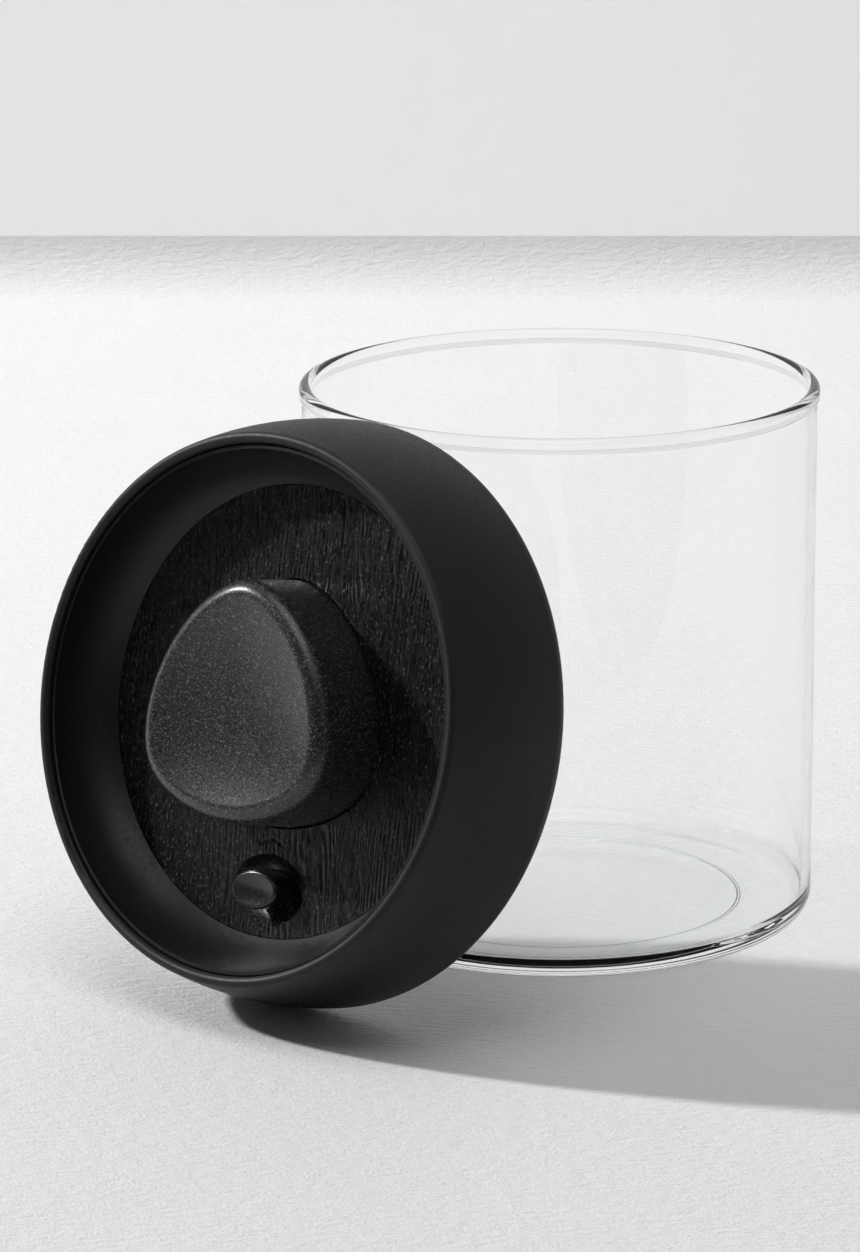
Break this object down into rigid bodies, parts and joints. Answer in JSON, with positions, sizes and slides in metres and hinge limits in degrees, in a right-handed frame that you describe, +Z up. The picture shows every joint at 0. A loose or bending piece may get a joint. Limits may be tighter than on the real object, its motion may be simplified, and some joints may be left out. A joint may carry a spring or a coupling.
{
  "type": "lidded glass canister",
  "caption": "Clear glass storage canister with a hand-pumped vacuum lid that leans open on the jar: push knob, release button, seals, springs and valves.",
  "frame": {"origin": "centre of the glass jar's flat base, on the table", "axes": "+Z up along the jar's axis; -Y towards the front view; the open lid leans on the jar at the front left"},
  "size_m": [0.177, 0.1835, 0.1302],
  "materials": {
    "clear_glass": "clear, polished",
    "matte_black": "smooth matte",
    "satin_black": "fine satin",
    "grained_black": "embossed wood grain",
    "speckled_black": "speckled satin",
    "plug_black": "moulded satin",
    "silicone": "soft silicone",
    "black_rubber": "soft",
    "acetal": "smooth natural acetal",
    "steel": "bright steel"
  },
  "bodies": {
    "jar": {"glass_jar": "clear_glass"},
    "check_ball": {"check_ball": "acetal"},
    "lid": {"outer_shell": "matte_black", "inner_bowl": "satin_black", "grain_disc": "grained_black", "base_plate": "plug_black", "lid_gasket": "silicone", "plate_screws": "steel", "pump_cylinder": "plug_black", "cylinder_seal": "black_rubber", "cylinder_cap": "plug_black", "cylinder_screws": "steel", "ball_cage": "acetal", "release_guide": "plug_black", "return_spring": "steel", "button_spring": "steel"},
    "knob": {"knob": "speckled_black", "plunger_rod": "plug_black", "piston": "plug_black", "piston_seal": "black_rubber", "knob_screw": "steel"},
    "button": {"release_button": "speckled_black", "release_stem": "plug_black", "release_seal": "black_rubber"}
  },
  "joints": [
    {"name": "lid_carry", "type": "hinge", "parent": "jar", "child": "check_ball", "pos_m": [-0.03685, -0.04392, 0.11696], "axis": [-0.766, 0.6428, 0], "range_deg": [0, 249.66]},
    {"name": "lid_turn", "type": "hinge", "parent": "check_ball", "child": "lid", "pos_m": [-0.04966, -0.05919, 0.0632], "axis": [-0.766, 0.6428, 0], "range_deg": [-174.2, 0.2]},
    {"name": "knob_push", "type": "slide", "parent": "lid", "child": "knob", "axis": [0.6237, 0.7433, -0.2419], "range_m": [0, 0.008], "stiffness_N_per_m": 400, "springref_m": -0.006, "deforming": ["return_spring"]},
    {"name": "button_push", "type": "slide", "parent": "lid", "child": "button", "axis": [0.6237, 0.7433, -0.2419], "range_m": [0, 0.0025], "stiffness_N_per_m": 500, "springref_m": -0.003, "deforming": ["button_spring"]}
  ],
  "couplings": [
    {"joint": "lid_turn", "follows": "lid_carry", "ratio": -0.69559}
  ]
}
